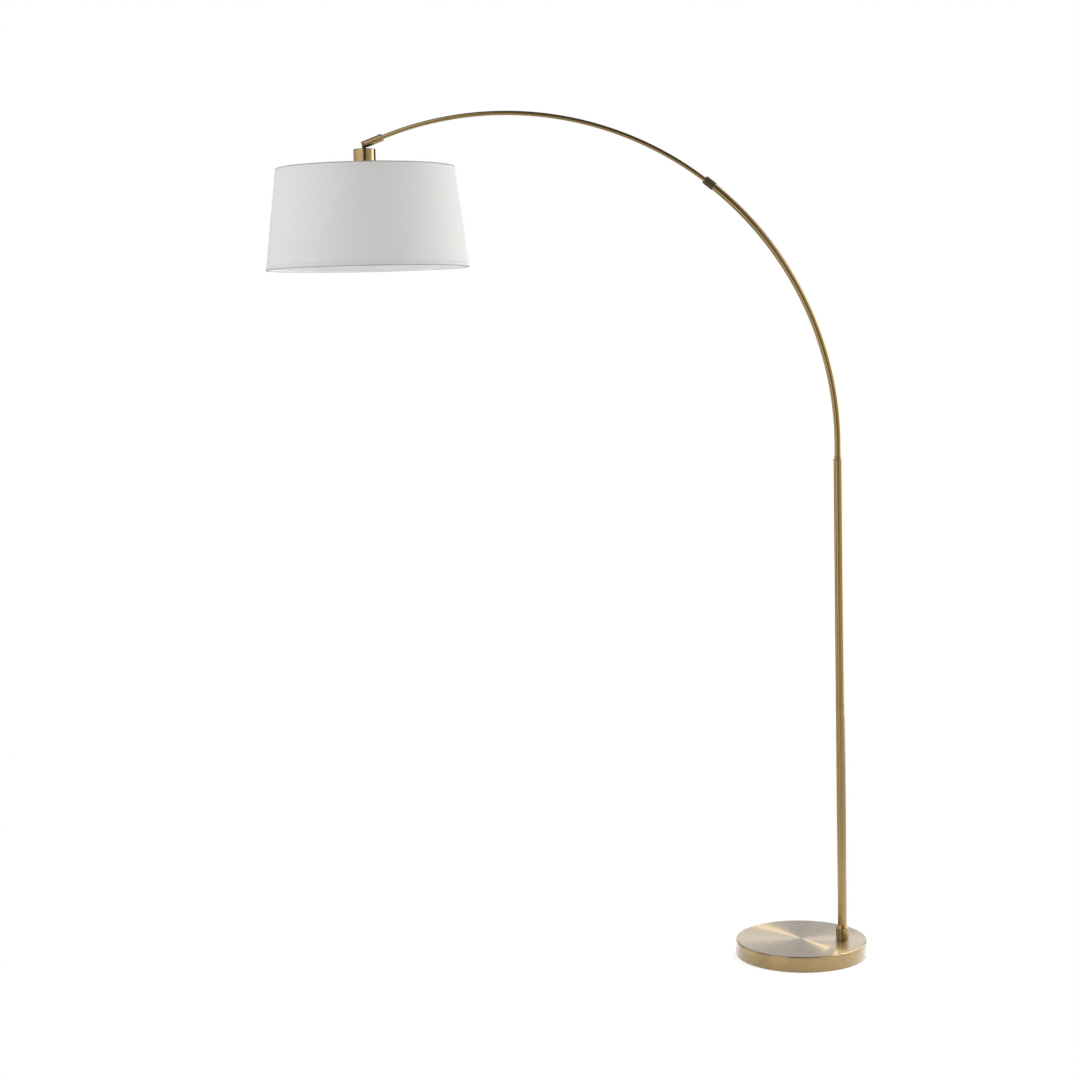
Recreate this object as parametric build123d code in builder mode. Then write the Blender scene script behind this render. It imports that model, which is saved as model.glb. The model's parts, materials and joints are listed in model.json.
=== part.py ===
from build123d import *
import os
from math import cos, radians, sin

os.makedirs("parts", exist_ok=True)

# Arc floor lamp. Millimetres, +Z up, origin at the middle of the base's underside.
# The arm lies in the XZ plane: the pole stands on the +X side of the base and the shade hangs
# over -X. The curved arm is one circle, tangent to the pole, so its inner tube can telescope.

# ---------------------------------------------------------------- driving dimensions
base_radius = 145.0
base_height = 35.0
cover_sheet = 1.5
cover_floor_gap = 1.2
pad_radius = 141.0
pad_thickness = 2.2
weight_radius = 142.5

pole_x = 91.5
pole_radius = 10.0
pole_wall = 1.2
pole_joint_z = 568.0
pole_top_z = 1107.0
foot_collar_radius = 14.1
foot_collar_height = 31.5
outlet_z = 112.0

arc_radius = 733.0
arc_height = 1141.0
lower_tube_radius = 7.5
lower_tube_wall = 1.0
upper_tube_radius = 4.75
upper_tube_wall = 0.8
stem_foot_z = 1000.2
lower_tube_end = 51.0
upper_tube_tail = 36.0
sleeve_start = 109.95

lock_radius = 9.25
lock_length = 26.2
sleeve_radius = 8.0
sleeve_length = 48.3
pivot_from_sleeve_start = 43.5

cup_radius = 24.25
cup_below_pivot = 9.7
cup_height = 56.0
shade_top_below_pivot = 51.0
shade_height = 219.5
shade_top_radius = 196.3
shade_bottom_radius = 223.6
shade_skin = 1.0
wire_radius = 1.6
spider_arms = 3

lead_radius = 2.5
slip = 0.02
running = 0.06
end_gap = 0.1
small_chamfer = 0.8
fine_chamfer = 0.5

# ---------------------------------------------------------------- derived places
pole_bore = pole_radius - pole_wall
lower_bore = lower_tube_radius - lower_tube_wall
upper_bore = upper_tube_radius - upper_tube_wall
arc_centre = Vector(pole_x - arc_radius, 0, arc_height)
arc_axis = Axis(arc_centre, (0, -1, 0))
pole_axis = Axis((pole_x, 0, 0), (0, 0, 1))


def arc_plane(angle):
    """Cross-section plane of the arm, angle degrees up the arc from the top of the pole."""
    outward = Vector(cos(radians(angle)), 0, sin(radians(angle)))
    along = Vector(-sin(radians(angle)), 0, cos(radians(angle)))
    return Plane(origin=arc_centre + outward * arc_radius, x_dir=outward, z_dir=along)


def turning_plane(x):
    """Upright plane for profiles turned about the vertical line at x: local (radius, height)."""
    return Plane(origin=(x, 0, 0), x_dir=(1, 0, 0), z_dir=(0, -1, 0))


def save(piece, label):
    piece.part.label = label
    export_step(piece.part, f"parts/{label}.step")


sleeve_plane = arc_plane(sleeve_start)
pivot = sleeve_plane.from_local_coords((0, 0, pivot_from_sleeve_start))
lamp_x = pivot.X
lamp_axis = Axis((lamp_x, 0, 0), (0, 0, 1))
cup_top = pivot.Z - cup_below_pivot
cup_bottom = cup_top - cup_height
shade_top = pivot.Z - shade_top_below_pivot
shade_bottom = shade_top - shade_height

# ---------------------------------------------------------------- base
bolt_radius = 5.0
bolt_clearance = 0.5
cover_edge = 2.2
weight_edge = 2.0
recess_radius = 14.0
recess_top = 14.5

with BuildPart() as base_cover:
    with BuildSketch(turning_plane(0)):
        with BuildLine():
            Polyline(
                (0, base_height),
                (base_radius, base_height),
                (base_radius, cover_floor_gap),
                (base_radius - cover_sheet, cover_floor_gap),
                (base_radius - cover_sheet, base_height - cover_sheet),
                (0, base_height - cover_sheet),
                close=True,
            )
        make_face()
    revolve(axis=Axis.Z)
    rim = base_cover.edges().filter_by(GeomType.CIRCLE).group_by(Axis.Z)[-1].sort_by(SortBy.RADIUS)[-1]
    fillet(rim, radius=cover_edge)
    with Locations((pole_x, 0, base_height)):
        Hole(bolt_radius + bolt_clearance, depth=3 * cover_sheet)
save(base_cover, "base_cover")

weight_top = base_height - cover_sheet - end_gap
with BuildPart() as base_weight:
    with BuildSketch(Plane.XY.offset(pad_thickness)):
        Circle(weight_radius)
    extrude(amount=weight_top - pad_thickness)
    fillet(base_weight.edges().group_by(Axis.Z)[-1], radius=weight_edge)
    with BuildSketch(Plane.XY.offset(pad_thickness)):
        with Locations((pole_x, 0)):
            Circle(recess_radius)
    extrude(amount=recess_top - pad_thickness, mode=Mode.SUBTRACT)
    with BuildSketch(Plane.XY.offset(recess_top)):
        with Locations((pole_x, 0)):
            Circle(bolt_radius + bolt_clearance)
    extrude(amount=weight_top - recess_top, mode=Mode.SUBTRACT)
save(base_weight, "base_weight")

with BuildPart() as base_pad:
    with BuildSketch():
        Circle(pad_radius)
    extrude(amount=pad_thickness)
save(base_pad, "base_pad")

# ---------------------------------------------------------------- pole and its fixing
washer_thickness = 2.0
washer_radius = 12.0
bolt_head_height = 6.4
bolt_head_flats = 17.0
plug_height = 40.0
bolt_engagement = 30.0

with BuildPart() as base_washer:
    with BuildSketch(Plane.XY.offset(recess_top - washer_thickness)):
        with Locations((pole_x, 0)):
            Circle(washer_radius)
            Circle(bolt_radius + bolt_clearance, mode=Mode.SUBTRACT)
    extrude(amount=washer_thickness)
save(base_washer, "base_washer")

bolt_head_top = recess_top - washer_thickness
with BuildPart() as base_bolt:
    with BuildSketch(Plane.XY.offset(bolt_head_top - bolt_head_height)):
        with Locations((pole_x, 0)):
            RegularPolygon(bolt_head_flats / 2, 6, major_radius=False)
    extrude(amount=bolt_head_height)
    chamfer(base_bolt.edges().group_by(Axis.Z)[0], length=small_chamfer)
    with BuildSketch(Plane.XY.offset(bolt_head_top)):
        with Locations((pole_x, 0)):
            Circle(bolt_radius - slip)
    extrude(amount=base_height + bolt_engagement - bolt_head_top)
    chamfer(base_bolt.edges().group_by(Axis.Z)[-1], length=small_chamfer)
save(base_bolt, "base_bolt")

with BuildPart() as pole_foot_plug:
    with BuildSketch(Plane.XY.offset(base_height)):
        with Locations((pole_x, 0)):
            Circle(pole_bore - slip)
            Circle(bolt_radius, mode=Mode.SUBTRACT)
    extrude(amount=plug_height)
save(pole_foot_plug, "pole_foot_plug")

foot_collar_bore = pole_radius + slip
bevel_height = 6.0
bevel_land = 0.6
with BuildPart() as pole_foot_collar:
    with BuildSketch(turning_plane(pole_x)):
        with BuildLine():
            Polyline(
                (foot_collar_bore, base_height),
                (foot_collar_radius, base_height),
                (foot_collar_radius, base_height + foot_collar_height - bevel_height),
                (pole_radius + bevel_land, base_height + foot_collar_height),
                (foot_collar_bore, base_height + foot_collar_height),
                close=True,
            )
        make_face()
    revolve(axis=pole_axis)
    bottom_rim = pole_foot_collar.edges().group_by(Axis.Z)[0].sort_by(SortBy.RADIUS)[-1]
    chamfer(bottom_rim, length=fine_chamfer)
save(pole_foot_collar, "pole_foot_collar")

joint_half = 4.0
grommet_neck = 4.0
outlet_plane = Plane(origin=(pole_x, 0, outlet_z), x_dir=(1, 0, 0), z_dir=(0, 1, 0))
with BuildPart() as lower_pole_tube:
    with BuildSketch(Plane.XY.offset(base_height)):
        with Locations((pole_x, 0)):
            Circle(pole_radius)
            Circle(pole_bore, mode=Mode.SUBTRACT)
    extrude(amount=pole_joint_z - joint_half - base_height)
    with BuildSketch(outlet_plane):
        Circle(grommet_neck + slip)
    extrude(amount=2 * pole_radius, mode=Mode.SUBTRACT)
save(lower_pole_tube, "lower_pole_tube")

grommet_length = 4.0
grommet_flange = 1.8
grommet_recess = 1.0
lead_clearance = 0.2
flange_face = outlet_plane.offset(pole_bore - grommet_recess)
with BuildPart() as cord_outlet_grommet:
    with BuildSketch(flange_face):
        Circle(grommet_neck + grommet_flange)
    extrude(amount=grommet_length)
    fillet(cord_outlet_grommet.edges().group_by(Axis.Y)[-1], radius=small_chamfer)
    with BuildSketch(Plane.XY.offset(outlet_z)):
        with Locations((pole_x, 0)):
            Circle(pole_radius + slip)
    extrude(amount=pole_radius, both=True, mode=Mode.SUBTRACT)
    with BuildSketch(flange_face):
        Circle(grommet_neck)
    extrude(amount=grommet_length - grommet_recess)
    with BuildSketch(flange_face):
        Circle(lead_radius + lead_clearance)
    extrude(amount=grommet_length, mode=Mode.SUBTRACT)
save(cord_outlet_grommet, "cord_outlet_grommet")

coupler_bore = 5.0
coupler_half = 28.0
with BuildPart() as pole_coupler:
    with BuildSketch(turning_plane(pole_x)):
        with BuildLine():
            Polyline(
                (coupler_bore, pole_joint_z - coupler_half),
                (pole_bore - slip, pole_joint_z - coupler_half),
                (pole_bore - slip, pole_joint_z - joint_half),
                (pole_radius, pole_joint_z - joint_half),
                (pole_radius, pole_joint_z + joint_half),
                (pole_bore - slip, pole_joint_z + joint_half),
                (pole_bore - slip, pole_joint_z + coupler_half),
                (coupler_bore, pole_joint_z + coupler_half),
                close=True,
            )
        make_face()
    revolve(axis=pole_axis)
    shoulder = pole_coupler.edges().filter_by(GeomType.CIRCLE).filter_by(
        lambda edge: edge.radius > pole_bore
    )
    chamfer(shoulder, length=fine_chamfer)
save(pole_coupler, "pole_coupler")

cap_flange = 4.5
cap_spigot = 24.0
cap_overhang = 0.3
cap_bottom = pole_top_z - cap_flange
with BuildPart() as upper_pole_tube:
    with BuildSketch(Plane.XY.offset(pole_joint_z + joint_half)):
        with Locations((pole_x, 0)):
            Circle(pole_radius)
            Circle(pole_bore, mode=Mode.SUBTRACT)
    extrude(amount=cap_bottom - pole_joint_z - joint_half)
save(upper_pole_tube, "upper_pole_tube")

with BuildPart() as pole_top_cap:
    with BuildSketch(turning_plane(pole_x)):
        with BuildLine():
            Polyline(
                (lower_tube_radius + running, cap_bottom - cap_spigot),
                (pole_bore - slip, cap_bottom - cap_spigot),
                (pole_bore - slip, cap_bottom),
                (pole_radius + cap_overhang, cap_bottom),
                (pole_radius + cap_overhang, pole_top_z),
                (lower_tube_radius + running, pole_top_z),
                close=True,
            )
        make_face()
    revolve(axis=pole_axis)
    outer_rim = pole_top_cap.edges().group_by(Axis.Z)[-1].sort_by(SortBy.RADIUS)[-1]
    chamfer(outer_rim, length=small_chamfer)
save(pole_top_cap, "pole_top_cap")

seat_thickness = 6.0
seat_z = stem_foot_z - 0.2
bush_height = 24.0
lead_way = lead_radius + 0.5
with BuildPart() as swivel_lower_bush:
    with BuildSketch(turning_plane(pole_x)):
        with BuildLine():
            Polyline(
                (lead_way, seat_z - seat_thickness),
                (pole_bore - slip, seat_z - seat_thickness),
                (pole_bore - slip, stem_foot_z + bush_height),
                (lower_tube_radius + running, stem_foot_z + bush_height),
                (lower_tube_radius + running, seat_z),
                (lead_way, seat_z),
                close=True,
            )
        make_face()
    revolve(axis=pole_axis)
save(swivel_lower_bush, "swivel_lower_bush")

# The lead starts behind the grommet, turns up as tightly as the pole's bore makes it, and
# runs to the foot of the arm's stem.
outlet_bend = 6.2
lead_tail = 0.6
with BuildPart() as lead_in_pole:
    with BuildLine():
        FilletPolyline(
            (pole_x, outlet_bend + lead_tail, outlet_z),
            (pole_x, 0, outlet_z),
            (pole_x, 0, stem_foot_z - end_gap),
            radius=outlet_bend,
        )
    with BuildSketch(Plane.XY.offset(stem_foot_z - end_gap)):
        with Locations((pole_x, 0)):
            Circle(lead_radius)
    sweep()
save(lead_in_pole, "lead_in_pole")

# ---------------------------------------------------------------- lower arm tube
guide_length = 3.5
guide_nose = 0.65
nose_radius = lower_bore - 0.2
collet_slot = 1.2
collet_slot_depth = 5.0

with BuildPart() as arm_lower_tube:
    with BuildSketch(Plane.XY.offset(stem_foot_z)):
        with Locations((pole_x, 0)):
            Circle(lower_tube_radius)
            Circle(lower_bore, mode=Mode.SUBTRACT)
    extrude(amount=arc_height - stem_foot_z)
    with BuildSketch(arc_plane(0)):
        Circle(lower_tube_radius)
        Circle(lower_bore, mode=Mode.SUBTRACT)
    revolve(axis=arc_axis, revolution_arc=lower_tube_end)
save(arm_lower_tube, "arm_lower_tube")

stop_bottom = pole_top_z + 0.2
stop_neck_height = 3.0
stop_bead_height = 3.0
stop_neck = lower_tube_radius + 0.4
stop_bead = lower_tube_radius + 1.1
stop_rounding = 0.6
with BuildPart() as arm_stop_ring:
    with BuildSketch(turning_plane(pole_x)):
        with BuildLine():
            Polyline(
                (lower_tube_radius + slip, stop_bottom),
                (stop_neck, stop_bottom),
                (stop_neck, stop_bottom + stop_neck_height),
                (stop_bead, stop_bottom + stop_neck_height + stop_rounding),
                (stop_bead, stop_bottom + stop_neck_height + stop_bead_height - stop_rounding),
                (stop_neck, stop_bottom + stop_neck_height + stop_bead_height),
                (lower_tube_radius + slip, stop_bottom + stop_neck_height + stop_bead_height),
                close=True,
            )
        make_face()
    revolve(axis=pole_axis)
save(arm_stop_ring, "arm_stop_ring")

# Split nylon collet in the lower tube's mouth: the upper tube slides through it, and the lock
# collar squeezes its slotted nose.
with BuildPart() as arm_guide_collet:
    with BuildSketch(arc_plane(lower_tube_end - guide_length)):
        Circle(lower_bore - slip)
        Circle(upper_tube_radius + running, mode=Mode.SUBTRACT)
    revolve(axis=arc_axis, revolution_arc=guide_length)
    with BuildSketch(arc_plane(lower_tube_end)):
        Circle(nose_radius)
        Circle(upper_tube_radius + running, mode=Mode.SUBTRACT)
    revolve(axis=arc_axis, revolution_arc=guide_nose)
    with BuildSketch(arc_plane(lower_tube_end + guide_nose)):
        Rectangle(3 * nose_radius, collet_slot)
        Rectangle(collet_slot, 3 * nose_radius)
    extrude(amount=-collet_slot_depth, mode=Mode.SUBTRACT)
save(arm_guide_collet, "arm_guide_collet")

slider_face = 0.2
lead_arc_gap = 0.1
with BuildPart() as lead_in_lower_arm:
    with BuildSketch(Plane.XY.offset(stem_foot_z)):
        with Locations((pole_x, 0)):
            Circle(lead_radius)
    extrude(amount=arc_height - stem_foot_z)
    with BuildSketch(arc_plane(0)):
        Circle(lead_radius)
    revolve(axis=arc_axis, revolution_arc=upper_tube_tail - slider_face - lead_arc_gap)
save(lead_in_lower_arm, "lead_in_lower_arm")

# ---------------------------------------------------------------- lock collar
# A straight turned nut on the bent tubes, so its bores leave room for the tubes' bow.
bow = 0.25
lock_angle = lower_tube_end - 0.075
lock_plane = arc_plane(lock_angle)
lock_start = lock_plane.offset(-lock_length / 2)
lock_profile = Plane(origin=lock_start.origin, x_dir=lock_start.x_dir, z_dir=-lock_start.y_dir)
lock_chamfer_length = 2.0
lock_chamfer_depth = 1.2
end_bore = upper_tube_radius + bow + 0.1
cone_spread = 0.4
end_wall = 3.3
cone_start = lock_length / 2 + 1.4
with BuildPart() as lock_collar:
    with BuildSketch(lock_profile):
        with BuildLine():
            Polyline(
                (lower_tube_radius + bow, 0),
                (lock_radius - fine_chamfer, 0),
                (lock_radius, fine_chamfer),
                (lock_radius, lock_length - lock_chamfer_length),
                (lock_radius - lock_chamfer_depth, lock_length),
                (end_bore, lock_length),
                (end_bore, lock_length - end_wall),
                (nose_radius + bow, lock_length - end_wall),
                (nose_radius + bow + cone_spread, cone_start),
                (lower_tube_radius + bow, cone_start),
                close=True,
            )
        make_face()
    revolve(axis=Axis(lock_start.origin, lock_start.z_dir))
save(lock_collar, "lock_collar")

# ---------------------------------------------------------------- upper arm tube
sleeve_socket = 20.0
socket_bow = 0.3
tube_in_sleeve = 1.4
slider_length = 2.0

with BuildPart() as arm_upper_tube:
    with BuildSketch(arc_plane(upper_tube_tail)):
        Circle(upper_tube_radius)
        Circle(upper_bore, mode=Mode.SUBTRACT)
    revolve(axis=arc_axis, revolution_arc=sleeve_start + tube_in_sleeve - upper_tube_tail)
save(arm_upper_tube, "arm_upper_tube")

with BuildPart() as arm_tail_slider:
    with BuildSketch(arc_plane(upper_tube_tail)):
        Circle(lower_bore - running)
        Circle(upper_tube_radius + slip, mode=Mode.SUBTRACT)
    revolve(axis=arc_axis, revolution_arc=slider_length)
    with BuildSketch(arc_plane(upper_tube_tail - slider_face)):
        Circle(lower_bore - running)
        Circle(lead_way, mode=Mode.SUBTRACT)
    revolve(axis=arc_axis, revolution_arc=slider_face)
save(arm_tail_slider, "arm_tail_slider")

# ---------------------------------------------------------------- end sleeve and its fork
grub_radius = 1.5
grub_from_start = 6.0
grub_proud = 0.5
grub_hexagon = 0.8
grub_hexagon_depth = 1.0
grub_plane = Plane(
    origin=sleeve_plane.from_local_coords((0, 0, grub_from_start)),
    z_dir=sleeve_plane.x_dir,
)
fork_slot = 10.0
fork_floor = 4.6
fork_roof = 4.8
fork_corner_drop = 6.0
yoke_radius = 4.0
yoke_width = 9.6
yoke_window_shift = 2.8
yoke_window_width = 11.0
yoke_window_height = 10.0
screw_radius = 1.5
screw_head_radius = 2.6
screw_head_depth = 1.3
screw_head_gap = 0.2
screw_slot_width = 0.7
screw_slot_depth = 0.5
lead_hole = lead_radius + 0.4

sleeve_axis = Axis(sleeve_plane.origin, sleeve_plane.z_dir)
fork_side = Plane(origin=pivot, x_dir=(1, 0, 0), z_dir=(0, -1, 0))
with BuildPart() as end_sleeve:
    with BuildSketch(sleeve_plane):
        Circle(sleeve_radius)
    extrude(amount=sleeve_length)
    chamfer(end_sleeve.faces().sort_by(sleeve_axis)[0].edges(), length=small_chamfer)
    chamfer(end_sleeve.faces().sort_by(sleeve_axis)[-1].edges(), length=fine_chamfer)
    with BuildSketch(sleeve_plane):
        Circle(upper_tube_radius + socket_bow)
    extrude(amount=sleeve_socket, mode=Mode.SUBTRACT)
    with BuildSketch(sleeve_plane):
        Circle(lead_hole)
    extrude(amount=pivot_from_sleeve_start, mode=Mode.SUBTRACT)
    with BuildSketch(sleeve_plane.offset(pivot_from_sleeve_start - fork_floor)):
        with Locations((fork_roof, 0)):
            Rectangle(2 * sleeve_radius, fork_slot, align=(Align.MAX, Align.CENTER))
    extrude(amount=3 * fork_floor, mode=Mode.SUBTRACT)
    with BuildSketch(Plane(origin=(pivot.X, 0, pivot.Z - fork_corner_drop), z_dir=(0, 0, -1))):
        Rectangle(4 * sleeve_radius, 3 * sleeve_radius)
    extrude(amount=2 * sleeve_radius, mode=Mode.SUBTRACT)
    with BuildSketch(fork_side):
        Circle(screw_radius + slip)
    extrude(amount=sleeve_radius, both=True, mode=Mode.SUBTRACT)
    for side in (1, -1):
        with BuildSketch(fork_side.offset(side * sleeve_radius)):
            Circle(screw_head_radius + screw_head_gap)
        extrude(amount=-side * (screw_head_depth + screw_head_gap), mode=Mode.SUBTRACT)
    with BuildSketch(grub_plane):
        Circle(grub_radius + slip)
    extrude(amount=2 * sleeve_radius, mode=Mode.SUBTRACT)
save(end_sleeve, "end_sleeve")

with BuildPart() as sleeve_grub_screw:
    with BuildSketch(grub_plane.offset(upper_tube_radius + running)):
        Circle(grub_radius)
    extrude(amount=sleeve_radius + grub_proud - upper_tube_radius - running)
    with BuildSketch(grub_plane.offset(sleeve_radius + grub_proud - grub_hexagon_depth)):
        RegularPolygon(grub_hexagon, 6, major_radius=False)
    extrude(amount=2 * grub_hexagon_depth, mode=Mode.SUBTRACT)
save(sleeve_grub_screw, "sleeve_grub_screw")

# Two screws, one through each cheek of the fork; the lead passes between their points.
screw_point = lead_way
screw_seat = sleeve_radius - screw_head_depth - screw_head_gap
with BuildPart() as pivot_screws:
    for side in (1, -1):
        with BuildSketch(fork_side.offset(side * screw_point)):
            Circle(screw_radius)
        extrude(amount=side * (screw_seat - screw_point))
        with BuildSketch(fork_side.offset(side * screw_seat)):
            Circle(screw_head_radius)
        extrude(amount=side * screw_head_depth)
        with BuildSketch(fork_side.offset(side * (screw_seat + screw_head_depth - screw_slot_depth))):
            Rectangle(3 * screw_head_radius, screw_slot_width)
        extrude(amount=side * screw_head_depth, mode=Mode.SUBTRACT)
save(pivot_screws, "pivot_screws")

lead_bend_run = 6.0
with BuildPart() as lead_in_upper_arm:
    with BuildSketch(arc_plane(upper_tube_tail)):
        Circle(lead_radius)
    revolve(axis=arc_axis, revolution_arc=sleeve_start - upper_tube_tail)
    with BuildSketch(sleeve_plane):
        Circle(lead_radius)
    extrude(amount=pivot_from_sleeve_start - lead_bend_run - end_gap)
save(lead_in_upper_arm, "lead_in_upper_arm")

# ---------------------------------------------------------------- swivel yoke
nipple_radius = 5.0
nipple_length = 16.0
with BuildPart() as swivel_yoke:
    with BuildSketch(fork_side):
        Circle(yoke_radius)
        with Locations((0, -cup_below_pivot / 2)):
            Rectangle(2 * yoke_radius, cup_below_pivot)
    extrude(amount=yoke_width / 2, both=True)
    with BuildSketch(Plane(origin=(lamp_x, 0, cup_top), z_dir=(0, 0, -1))):
        Circle(nipple_radius - slip)
    extrude(amount=nipple_length)
    chamfer(swivel_yoke.edges().group_by(Axis.Z)[0], length=small_chamfer)
    with BuildSketch(Plane(origin=pivot, z_dir=(0, 0, -1))):
        Circle(lead_hole)
    extrude(amount=2 * nipple_length, mode=Mode.SUBTRACT)
    with BuildSketch(fork_side):
        with Locations((yoke_window_shift, 0)):
            Rectangle(yoke_window_width, yoke_window_height)
    extrude(amount=lead_hole, both=True, mode=Mode.SUBTRACT)
    with BuildSketch(fork_side):
        Circle(screw_radius + running)
    extrude(amount=yoke_width, both=True, mode=Mode.SUBTRACT)
save(swivel_yoke, "swivel_yoke")

bend_start = pivot - sleeve_plane.z_dir * lead_bend_run
lead_bend_radius = 6.0
with BuildPart() as lead_pivot_bend:
    with BuildLine():
        FilletPolyline(
            bend_start,
            pivot,
            pivot - Vector(0, 0, lead_bend_run),
            radius=lead_bend_radius,
        )
    with BuildSketch(Plane(origin=bend_start, z_dir=sleeve_plane.z_dir)):
        Circle(lead_radius)
    sweep()
save(lead_pivot_bend, "lead_pivot_bend")

# ---------------------------------------------------------------- socket cup and lampholder
cup_sheet = 1.2
cup_edge = 1.6
locknut_height = 3.0
locknut_flats = 14.0
with BuildPart() as socket_cup:
    with BuildSketch(turning_plane(lamp_x)):
        with BuildLine():
            Polyline(
                (nipple_radius + slip, cup_top),
                (cup_radius, cup_top),
                (cup_radius, cup_bottom),
                (cup_radius - cup_sheet, cup_bottom),
                (cup_radius - cup_sheet, cup_top - cup_sheet),
                (nipple_radius + slip, cup_top - cup_sheet),
                close=True,
            )
        make_face()
    revolve(axis=lamp_axis)
    fillet(socket_cup.edges().group_by(Axis.Z)[-1].sort_by(SortBy.RADIUS)[-1], radius=cup_edge)
save(socket_cup, "socket_cup")

with BuildPart() as yoke_locknut:
    with BuildSketch(Plane(origin=(lamp_x, 0, cup_top - cup_sheet), z_dir=(0, 0, -1))):
        RegularPolygon(locknut_flats / 2, 6, major_radius=False)
        Circle(nipple_radius, mode=Mode.SUBTRACT)
    extrude(amount=locknut_height)
save(yoke_locknut, "yoke_locknut")

boss_top = cup_top - cup_sheet - locknut_height - end_gap
boss_radius = 8.0
boss_height = 7.0
shoulder_radius = 15.5
shoulder_drop = 9.0
side_drop = 14.0
holder_joint = cup_bottom + 6.8
holder_radius = 20.5
holder_wall = 2.0
with BuildPart() as lampholder_cap:
    with BuildSketch(turning_plane(lamp_x)):
        with BuildLine():
            Polyline(
                (nipple_radius, boss_top),
                (boss_radius, boss_top),
                (boss_radius, boss_top - boss_height),
                (shoulder_radius, boss_top - shoulder_drop),
                (holder_radius, boss_top - side_drop),
                (holder_radius, holder_joint),
                (holder_radius - holder_wall, holder_joint),
                (holder_radius - holder_wall, boss_top - side_drop - holder_wall / 2),
                (shoulder_radius - holder_wall / 2, boss_top - shoulder_drop - holder_wall),
                (nipple_radius, boss_top - shoulder_drop - holder_wall),
                close=True,
            )
        make_face()
    revolve(axis=lamp_axis)
save(lampholder_cap, "lampholder_cap")

core_bottom = holder_joint + 0.7
core_height = 12.0
core_top = core_bottom + core_height
core_edge = 1.5
core_radius = holder_radius - holder_wall - 0.3
terminal_y = 10.0
terminal_hole_radius = 2.6
terminal_hole_depth = 6.0
terminal_screw_radius = 1.5
terminal_head_radius = 2.9
terminal_head_height = 1.6
terminal_places = ((lamp_x, terminal_y), (lamp_x, -terminal_y))
with BuildPart() as lampholder_core:
    with BuildSketch(Plane.XY.offset(core_bottom)):
        with Locations((lamp_x, 0)):
            Circle(core_radius)
    extrude(amount=core_height)
    fillet(lampholder_core.edges().group_by(Axis.Z)[-1], radius=core_edge)
    with BuildSketch(Plane.XY.offset(core_top)):
        with Locations(*terminal_places):
            Circle(terminal_hole_radius)
    extrude(amount=-terminal_hole_depth, mode=Mode.SUBTRACT)
save(lampholder_core, "lampholder_core")

with BuildPart() as terminal_screws:
    with BuildSketch(Plane.XY.offset(core_top)):
        with Locations(*terminal_places):
            Circle(terminal_screw_radius)
    extrude(amount=end_gap - terminal_hole_depth)
    with BuildSketch(Plane.XY.offset(core_top)):
        with Locations(*terminal_places):
            Circle(terminal_head_radius)
    extrude(amount=terminal_head_height)
save(terminal_screws, "terminal_screws")

with BuildPart() as lead_in_head:
    with BuildSketch(Plane.XY.offset(core_top + end_gap)):
        with Locations((lamp_x, 0)):
            Circle(lead_radius)
    extrude(amount=pivot.Z - lead_bend_run - core_top - 2 * end_gap)
save(lead_in_head, "lead_in_head")

shell_radius = 14.6
shell_wall = 0.5
shell_length = 26.0
with BuildPart() as screw_shell:
    with BuildSketch(Plane.XY.offset(core_bottom - shell_length)):
        with Locations((lamp_x, 0)):
            Circle(shell_radius)
            Circle(shell_radius - shell_wall, mode=Mode.SUBTRACT)
    extrude(amount=shell_length - slip)
save(screw_shell, "screw_shell")

contact_drop = 4.0
contact_sheet = 0.6
contact_length = 14.0
contact_width = 6.0
contact_shift = 3.0
contact_corner = 1.0
contact_tip_radius = 2.6
with BuildPart() as centre_contact:
    with BuildSketch(Plane.XY.offset(core_bottom - contact_sheet)):
        with Locations((lamp_x + contact_shift, 0)):
            RectangleRounded(contact_length, contact_width, contact_corner)
    extrude(amount=contact_sheet - slip)
    with BuildSketch(Plane.XY.offset(core_bottom - contact_drop)):
        with Locations((lamp_x, 0)):
            Circle(contact_tip_radius)
    extrude(amount=contact_drop - contact_sheet)
save(centre_contact, "centre_contact")

skirt_radius = 19.6
skirt_bore = 15.4
skirt_drop = 35.0
skirt_bottom = core_bottom - skirt_drop
skirt_flange = cup_radius - cup_sheet - 0.4
skirt_flange_height = 2.5
with BuildPart() as lampholder_skirt:
    with BuildSketch(turning_plane(lamp_x)):
        with BuildLine():
            Polyline(
                (skirt_bore, skirt_bottom),
                (skirt_radius, skirt_bottom),
                (skirt_radius, cup_bottom),
                (skirt_flange, cup_bottom),
                (skirt_flange, cup_bottom + skirt_flange_height),
                (holder_radius, cup_bottom + skirt_flange_height),
                (holder_radius, holder_joint - slip),
                (skirt_bore, holder_joint - slip),
                close=True,
            )
        make_face()
    revolve(axis=lamp_axis)
    chamfer(lampholder_skirt.edges().group_by(Axis.Z)[0], length=small_chamfer)
save(lampholder_skirt, "lampholder_skirt")

# ---------------------------------------------------------------- shade
hub_thickness = 1.2
hub_top = cup_bottom - end_gap
ring_nut_height = 6.2
ring_nut_radius = 26.5
ring_nut_top = hub_top - hub_thickness - end_gap
ring_nut_bore = skirt_radius + 0.1
grip_count = 18
grip_radius = 2.0
grip_circle = 27.6
with BuildPart() as shade_ring_nut:
    with BuildSketch(Plane.XY.offset(ring_nut_top - ring_nut_height)):
        with Locations((lamp_x, 0)):
            Circle(ring_nut_radius)
            Circle(ring_nut_bore, mode=Mode.SUBTRACT)
    extrude(amount=ring_nut_height)
    nut_rims = shade_ring_nut.edges().filter_by(GeomType.CIRCLE).sort_by(SortBy.RADIUS)[-2:]
    chamfer(nut_rims, length=small_chamfer)
    with BuildSketch(Plane.XY.offset(ring_nut_top)):
        with Locations((lamp_x, 0)):
            with PolarLocations(grip_circle, grip_count):
                Circle(grip_radius)
    extrude(amount=-ring_nut_height, mode=Mode.SUBTRACT)
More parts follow.
